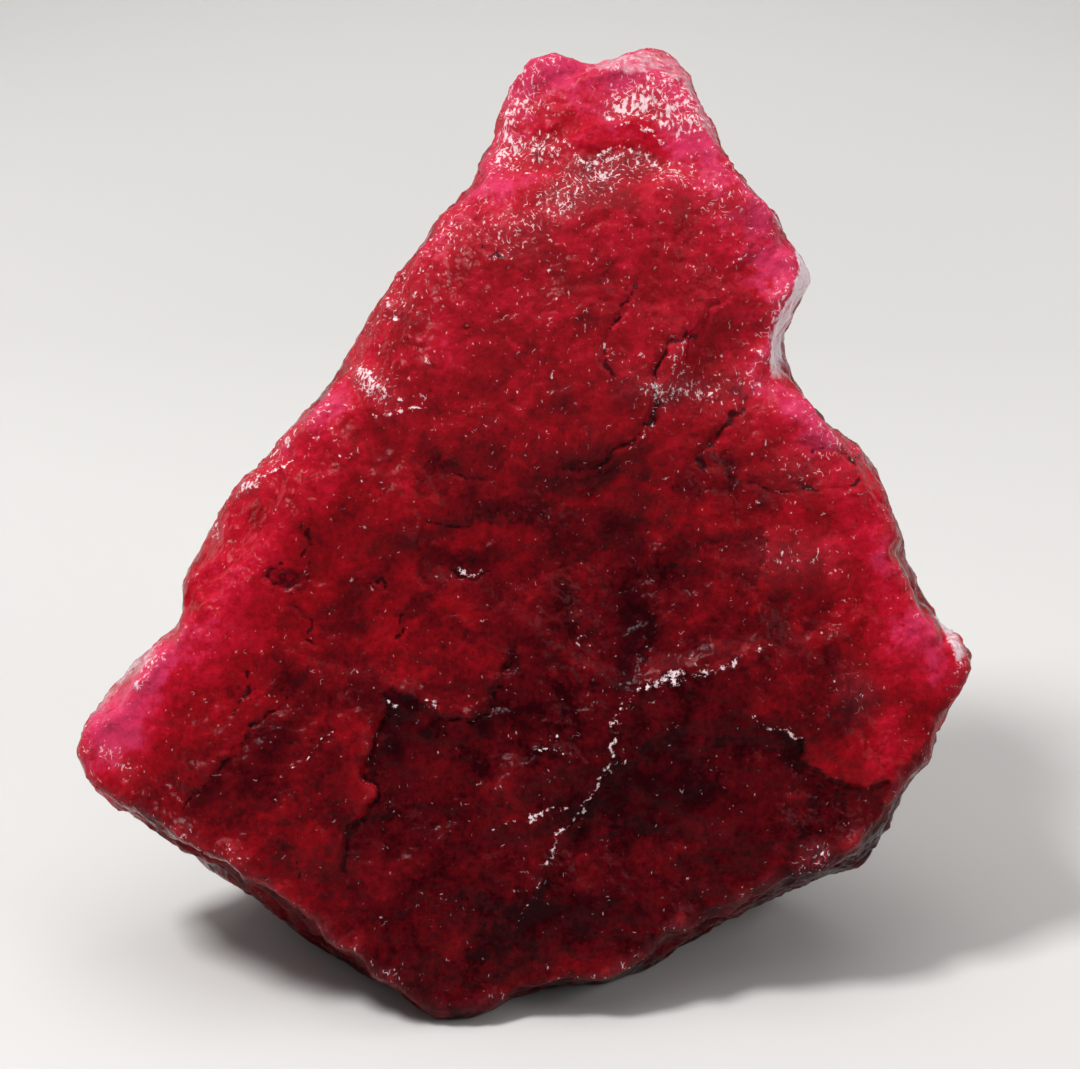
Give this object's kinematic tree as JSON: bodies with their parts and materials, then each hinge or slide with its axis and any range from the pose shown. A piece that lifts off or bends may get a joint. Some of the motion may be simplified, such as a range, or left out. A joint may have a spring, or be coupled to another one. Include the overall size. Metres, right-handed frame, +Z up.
{
  "type": "raw ruby crystal",
  "caption": "Rough broken block of deep red ruby, standing on a flat parting face, with a broad ledged front and thin upper edges.",
  "frame": {"origin": "on the ground, under the middle of the stone's box", "axes": "+Z up, +X to the right along the broad front face, +Y from the front face to the back"},
  "size_m": [0.091, 0.0484, 0.0902],
  "materials": {
    "raw_ruby": "glossy broken crystal, translucent where thin"
  },
  "bodies": {
    "root": {"raw_ruby": "raw_ruby"}
  },
  "joints": []
}
